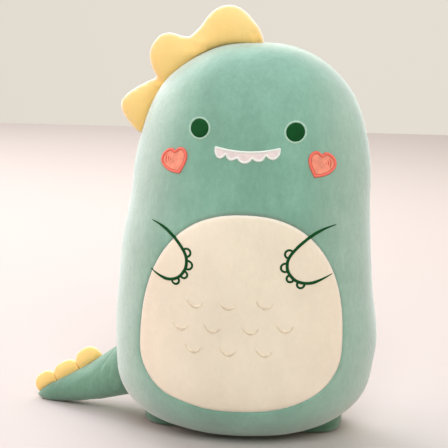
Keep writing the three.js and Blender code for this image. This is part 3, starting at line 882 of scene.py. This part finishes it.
def arms(surface):
    for name, side in SIDES:
        hand, stretch, lift = ARMS[name]
        line = spline(leaned([(side * (hand + out * stretch), z + lift) for out, z in ARM_ROUTE]), 130)
        swell = np.minimum(1, 2.2 * np.sin(np.linspace(0, np.pi, len(line))))
        widths = ARM_END_WIDTH + (ARM_WIDTH - ARM_END_WIDTH) * swell
        dark_stroke(f"arm_{name}", surface, line, widths, 1.6)
        for number, (place, radius) in enumerate(CLAWS, 1):
            claw(surface, f"claw_{name}_{number}", side, line, place, radius)


def claw(surface, node, side, line, place, radius):
    """An open loop of stitches on the outer side of the hand's bend."""
    index = int(place * (len(line) - 1))
    tangent = line[index + 1] - line[index - 1]
    outward = math.atan2(tangent[0], -tangent[1]) + (math.pi if side > 0 else 0)
    centre = line[index] + np.array([math.cos(outward), math.sin(outward)]) * (ARM_WIDTH / 2 + 0.4)
    spin = outward + np.radians(np.linspace(-CLAW_HALF_TURN, CLAW_HALF_TURN, 30))
    loop = centre + radius * circle(spin)
    dark_stroke(node, surface, loop, [CLAW_WIDTH] * len(loop), 1.3, sides=6)


def belly_scales(surface):
    spin = np.linspace(np.pi * 1.03, np.pi * 1.97, 30)
    along, rise = signed_power(np.cos(spin), 1.15), 1 + signed_power(np.sin(spin), 1.3)
    tick = np.stack([SCALE_HALF_WIDTH * along, SCALE_DEPTH * (rise - SCALE_TILT * along)], 1)
    widths = SCALE_WIDTH * np.interp(np.linspace(0, 1, 30), (0, 0.25, 0.55, 1), (0.35, 0.8, 1.0, 0.35))
    for number, place in enumerate(SCALES, 1):
        node = f"belly_scale_{number:02d}"
        piece = stroke(node, surface, leaned([place])[0] + tick, widths, 1.2, 0.3, sides=6)
        finish_piece(piece, "belly_thread", "body", "belly_thread", node)


# ---- crest, tail and feet

CREST_OUTLINE = (    # distance along the head's seam, height
    (-0.5, 0), (2, 9), (6, 17.5), (13, 27), (20.5, 36), (29, 44), (39, 47.5), (49, 45.5), (58.5, 39),
    (69, 30.5), (78, 27), (84, 26.3), (90.5, 32), (98, 41), (107, 46.4), (116, 45.2), (123, 42), (129, 36),
    (135, 25), (140.8, 12.6), (150, 18), (165, 29), (176, 35.2), (184, 37.2), (191.5, 33.2), (199.5, 24.4),
    (207, 13), (213, 0))
CREST_ZERO_X = 20.0    # where along the seam the crest's distances start
CREST_HINGE = np.array([-69.0, 6.0, 455.7])
CREST_OUT = np.array([-0.6136, 0.0, 0.7896])
CREST_BEND = (-19.0, 40.0)    # how far out along CREST_OUT the flop would start and be complete; the crest is not bent by these
TAIL_BEND = ((-0.140, 0.038, 0.065), (-0.185, 0.049, 0.055))
TAIL = dict(root=(-130.5, 34.0, 79.5), length=165.0, heading=math.radians(14.5), tip_height=5.5, sag=7.5,
            root_radius=46.0, tip_radius=8.0, round_from=0.86, width=0.84)
TAIL_ASIDE = np.array([math.sin(TAIL["heading"]), math.cos(TAIL["heading"]), 0.0])
SPINES = (    # middle, reach towards the body and towards the tip, where it shows from and to, height
    (0.902, 0.100, 0.084, 0.8165, 0.985, 17.5), (0.706, 0.115, 0.125, 0.6065, 0.8135, 18.0),
    (0.504, 0.100, 0.112, 0.406, 0.6035, 20.0))
SPINE_POWER = 2.4
FOOT = dict(spacing=86.0, back=30.0, half_width=45.0, half_length=44.0, thickness=25.0, widest=0.36,
            seam=9.0, plan=2.7, section=2.6)
FIN_LIP = 0.9    # half-thickness of a fin's sewn rim
# held is how near the rim and the sunk foot the cloth is pinned; seam is the reach of the painted
# highlight along the rim, and root the strength and reach of the painted shade at the base
CREST_FIN = dict(half_thickness=8.4, sink=3.0, rows=18, held=(1.2, 2.5), seam=2.9, root=(0.7, 11.0),
                 cloth=dict(pressure=5.0, cap_mm=3.5, frames=14, spare=0.012))
SPINE_FIN = dict(half_thickness=5.2, sink=3.5, rows=13, held=(0.8, 2.0), seam=1.5, root=(0.6, 5.0),
                 cloth=dict(pressure=4.0, cap_mm=1.5, frames=10, spare=0.02))


def fin(name, base, out, heights, side, ends, half_thickness, sink, rows, held, cloth, seam, root):
    """A padded fin: two faces meeting at a thin sewn rim, standing on a line of base points."""
    v = np.concatenate([np.linspace(0, 0.9, rows - 5), 1 - 0.1 * (1 - np.linspace(0.2, 1, 5)) ** 1.6])
    tall = heights / heights.max() * ends ** (1 / 0.6)
    loops = []
    for face in (-1, 1):
        order = v if face < 0 else v[::-1]
        padded = np.clip(1 - np.abs(2 * order ** 0.9 - 1) ** 2, 0, 1) ** 0.5
        thick = half_thickness * tall[:, None] ** 0.6 * np.maximum(padded, 0.42 * (order < 0.3))
        thick = np.maximum(thick, FIN_LIP * (order < 0.999) * np.minimum(1, heights[:, None] / 4))
        up = (heights[:, None] + sink) * order - sink
        loops.append(base[:, None] + out[:, None] * up[..., None] + side * (face * thick)[..., None])
    grid = np.concatenate(loops, axis=1)
    obj = new_mesh(name, grid.reshape(-1, 3), tube_faces(*grid.shape[:2]))
    turn_outward(obj, MERGE_MM)
    rim, foot = base + out * heights[:, None], base - out * sink
    pinned = (near_line(obj, rim, held[0]) > 0.5) | (near_line(obj, foot, held[1]) > 0.5)
    inflate(obj, pinned, **cloth)
    # painted highlight along the rim, painted shade at the base
    attribute(obj, "seam", near_line(obj, rim, seam))
    attribute(obj, "root", root[0] * near_line(obj, base, root[1]))
    subdivide(obj)
    return obj


def near_line(obj, line, reach):
    """How near each of a piece's points is to a line of points, from 0 to 1."""
    return bell(nearest(coords(obj), line)[1], reach)


def head_seam(count=1200):
    """The side seam over the head: distance from the crest's zero, the point and the outward direction."""
    turned = np.radians(np.linspace(-10, 95, count))
    level = np.cos(turned)
    z = WIDEST_Z + BODY["rise"] * level
    across, _ = outline_half_width(level, z, -turned)
    x = -np.sign(turned) * across + lean_at(z)
    points = np.stack([x, np.full(count, SEAM_Y), z], 1)
    run = run_along(points)
    first = np.nonzero(x < CREST_ZERO_X)[0][0]
    share = (x[first - 1] - CREST_ZERO_X) / (x[first - 1] - x[first])
    run = run - (run[first - 1] + share * (run[first] - run[first - 1]))
    along = unit(np.gradient(points, axis=0))
    return run, points, np.stack([along[:, 2], np.zeros(count), -along[:, 0]], 1)


def crest():
    run, points, out = head_seam()
    knots = np.array(CREST_OUTLINE, float)
    smooth = spline(knots, 400)
    place = np.linspace(knots[0, 0] + 0.5, knots[-1, 0] - 0.3, 170)
    heights = np.maximum(np.interp(place, smooth[:, 0], smooth[:, 1]), 0.3)
    base, steer = (np.stack([np.interp(place, run, values[:, k]) for k in range(3)], 1)
                   for values in (points, out))
    window = np.hanning(27)
    window /= window.sum()
    steer = unit(np.stack([np.convolve(np.pad(steer[:, k], 13, mode="edge"), window, "valid")
                           for k in range(3)], 1))
    obj = fin("crest", base, steer, heights, np.array([0, 1, 0]), 1.0, **CREST_FIN)
    bend = [tuple((CREST_HINGE + reach * CREST_OUT) * MM) for reach in CREST_BEND]
    return finish_piece(obj, "yellow", "crest", "crest_velour", "crest_front_panel", "crest_back_panel",
                        "crest_filling", bend=bend)


def tail_axis(t):
    ahead = np.array([-math.cos(TAIL["heading"]), math.sin(TAIL["heading"])]) * TAIL["length"]
    x, y, z = TAIL["root"]
    z = z + (TAIL["tip_height"] - z) * t - 4 * TAIL["sag"] * t * (1 - t)
    return np.stack([x + ahead[0] * t, y + ahead[1] * t, z], -1)


def tail_radius(t):
    past = np.clip((t - TAIL["round_from"]) / (1 - TAIL["round_from"]), 0, 1)
    return (TAIL["root_radius"] + (TAIL["tip_radius"] - TAIL["root_radius"]) * t) * np.sqrt(1 - past**2)


def tail():
    around, tip_from = 96, TAIL["round_from"]
    t = np.concatenate([np.linspace(0.03, tip_from, 52), np.linspace(tip_from, 0.9985, 19)[1:]])
    spin = angles(around) + np.pi / 2
    axis, radius = tail_axis(t), tail_radius(t)
    points = axis[:, None] + TAIL_ASIDE * (radius[:, None] * TAIL["width"] * np.cos(spin))[..., None]
    points[..., 2] += radius[:, None] * np.sin(spin)
    above_floor(points, SEWN_LOW)
    obj = new_mesh("tail", points.reshape(-1, 3), tube_faces(len(t), around))
    turn_outward(obj)
    ring, column = np.divmod(np.arange(len(t) * around), around)
    off_seam = np.minimum(np.minimum(column, around - column), np.abs(column - around // 2))
    seam_gap = off_seam * 2 * np.pi / around * np.repeat(radius, around)
    held = (off_seam == 0) | (ring < 3) | (ring > len(t) - 2)
    inflate(obj, held, pressure=4.0, cap_mm=1.8, frames=12, spare=0.002)
    moved = coords(obj)
    pucker = grain(np.repeat(axis, around, axis=0), 9.0, 1, 4.4) * np.exp(-seam_gap / 7)
    lift = -1.8 * bell(seam_gap, 2.6) + 0.7 * pucker + 0.8 * grain(moved, 45.0, 2, 9.0)
    set_coords(obj, above_floor(moved + normals(obj) * lift[:, None], STUFFED_LOW))
    # painted shade along the tail's seam groove
    attribute(obj, "seam", bell(seam_gap, 1.4))
    subdivide(obj)
    return finish_piece(obj, "shaded_sage", "tail", "body_velour", "tail_front_panel", "tail_back_panel",
                        "tail_filling", bend=TAIL_BEND)


def tail_spines():
    made = []
    for number, (middle, before, after, near, far, height) in enumerate(SPINES, 1):
        t = near + (far - near) * (0.5 - 0.5 * np.cos(np.linspace(0, np.pi, 48)))
        base = tail_axis(t)
        base[:, 2] += tail_radius(t)
        out = np.cross(unit(np.gradient(base, axis=0)), TAIL_ASIDE)
        out *= np.sign(out[:, 2:3])
        share = np.abs(t - middle) / np.where(t < middle, before, after)
        tall = height * np.clip(1 - share**SPINE_POWER, 0, 1) ** (1 / SPINE_POWER)
        ends = np.minimum(np.arange(48), np.arange(48)[::-1]) / 6.0
        tall = np.maximum(tall * (0.86 + 0.14 * np.minimum(1, ends)), 0.3)
        obj = fin(f"spine_{number}", base, out, tall, TAIL_ASIDE, np.minimum(1, 0.25 + ends), **SPINE_FIN)
        made.append(finish_piece(obj, "amber", "tail", "spine_velour", f"tail_spine_{number}"))
    return made


def feet():
    made = []
    down, around = 26, 72
    level = np.cos(np.linspace(0.02, np.pi - 0.02, down))
    closing = ((1 - np.abs(level) ** FOOT["section"]) ** (1 / FOOT["section"]))[:, None]
    spin = angles(around)
    y = FOOT["back"] + FOOT["half_length"] * closing * signed_power(np.sin(spin), 2 / FOOT["plan"])
    z = FOOT["thickness"] * (FOOT["widest"] + (1 - FOOT["widest"]) * level)[:, None] + 0 * spin
    for name, side in SIDES:
        out = FOOT["half_width"] * closing * signed_power(np.cos(spin), 2 / FOOT["plan"])
        points = above_floor(np.stack([side * FOOT["spacing"] + out, y, z], -1).reshape(-1, 3), SEWN_LOW)
        obj = new_mesh(f"foot_{name}", points, tube_faces(down, around))
        turn_outward(obj)
        seam_gap = np.abs(points[:, 2] - FOOT["seam"])
        lift = -1.2 * bell(seam_gap, 1.8) + 0.6 * grain(points, 20.0, 2, 1.5)
        set_coords(obj, above_floor(points + normals(obj) * lift[:, None], STUFFED_LOW))
        # painted shade along the foot's seam groove
        attribute(obj, "seam", bell(seam_gap, 1.4))
        nodes = [f"foot_{name}_{part}" for part in ("upper", "sole", "filling")]
        made.append(finish_piece(obj, "shaded_sage", f"foot_{name}", "foot_velour", *nodes))
    return made


# ---- the scene

def build():
    panels = body_panels()
    surface = Surface(panels["front"], panels["belly"])
    eyes(surface)
    cheeks(surface)
    teeth(surface)
    arms(surface)
    belly_scales(surface)
    for obj in panels.values():
        give_thickness(obj, FABRIC)
    finish_piece(panels["front"], "sage", "body", "body_velour", "body_front_panel", "body_filling")
    finish_piece(panels["back"], "sage", "body", "body_velour", "body_back_panel")
    finish_piece(panels["belly"], "cream", "body", "belly_velour", "belly_panel")
    stuffed = list(panels.values()) + [crest(), tail()] + tail_spines() + feet()


def floor():
    half = 3.0
    mesh = bpy.data.meshes.new("floor")
    corners = [(-half, -half, 0), (half, -half, 0), (half, half, 0), (-half, half, 0)]
    mesh.from_pydata(corners, [], [(0, 1, 2, 3)])
    obj = bpy.data.objects.new("floor", mesh)
    bpy.context.scene.collection.objects.link(obj)
    nodes = Nodes("pale_floor")
    nodes.set(Base_Color=(0.52, 0.49, 0.46), Roughness=0.9, Specular_IOR_Level=0.1)
    mesh.materials.append(nodes.material)


def aim(name, data, place, target, roll=0.0):
    """A light or camera at a place, pointed at a target."""
    obj = bpy.data.objects.new(name, data)
    facing = (Vector(target) - Vector(place)).to_track_quat("-Z", "Y").to_matrix()
    turned = facing @ Matrix.Rotation(roll, 3, "Z")
    obj.matrix_world = Matrix.Translation(place) @ turned.to_4x4()
    bpy.context.scene.collection.objects.link(obj)
    return obj


def lights():
    middle = (0.0, 0.0, 0.28)
    for name, place, target, size, power, colour in (
            ("front_high", (0.3, -1.7, 2.0), middle, 1.2, 39, (0.93, 0.97, 1.0)),
            ("overhead", (0.0, 0.3, 2.3), middle, 1.5, 21, (0.80, 0.81, 1.0)),
            ("left", (-3.0, 0.1, 1.6), middle, 2.2, 68, (1.0, 0.73, 0.77)),
            ("right", (3.0, 0.0, 1.3), middle, 2.2, 25, (1.0, 0.64, 0.60)),
            ("left_rim", (-2.2, 2.0, 2.1), middle, 1.6, 70, (0.97, 0.93, 1.0)),
            ("right_rim", (2.2, 2.0, 2.1), middle, 1.6, 3, (1.0, 0.85, 0.75)),
            ("back_high", (0.0, 1.5, 1.6), middle, 1.5, 10, (1.0, 0.98, 0.85)),
            ("far_floor", (0.0, 2.6, 1.8), (0.0, 2.6, 0.0), 2.5, 24, (1.0, 0.95, 0.88))):
        light = bpy.data.lights.new(name, "AREA")
        light.energy, light.size, light.color = power, size, colour
        aim(name, light, place, target)


def surroundings():
    """A soft warm light from all round, stronger from behind."""
    world = bpy.data.worlds.new("studio")
    world.use_nodes = True
    tree = world.node_tree
    add, link = tree.nodes.new, tree.links.new
    direction, split = add("ShaderNodeTexCoord"), add("ShaderNodeSeparateXYZ")
    behind, level = add("ShaderNodeMath"), add("ShaderNodeMath")
    behind.operation, level.operation = "MAXIMUM", "MULTIPLY_ADD"
    behind.inputs[1].default_value = 0.0
    level.inputs[1].default_value, level.inputs[2].default_value = 0.57, 0.25
    background = tree.nodes["Background"]
    background.inputs["Color"].default_value = (0.96, 0.89, 0.79, 1)
    link(direction.outputs["Generated"], split.inputs["Vector"])
    link(split.outputs["Y"], behind.inputs[0])
    link(behind.outputs[0], level.inputs[0])
    link(level.outputs[0], background.inputs["Strength"])
    bpy.context.scene.world = world
    bpy.context.scene.view_settings.view_transform = "Standard"


def camera():
    data = bpy.data.cameras.new("camera")
    data.lens, data.sensor_width = 103.34, 36.0
    place, target = (0.13945, -1.59391, 0.6), (-0.02593, 0.0, 0.270355)
    bpy.context.scene.camera = aim("camera", data, place, target, roll=math.radians(0.81389))


build()
floor()
lights()
surroundings()
camera()
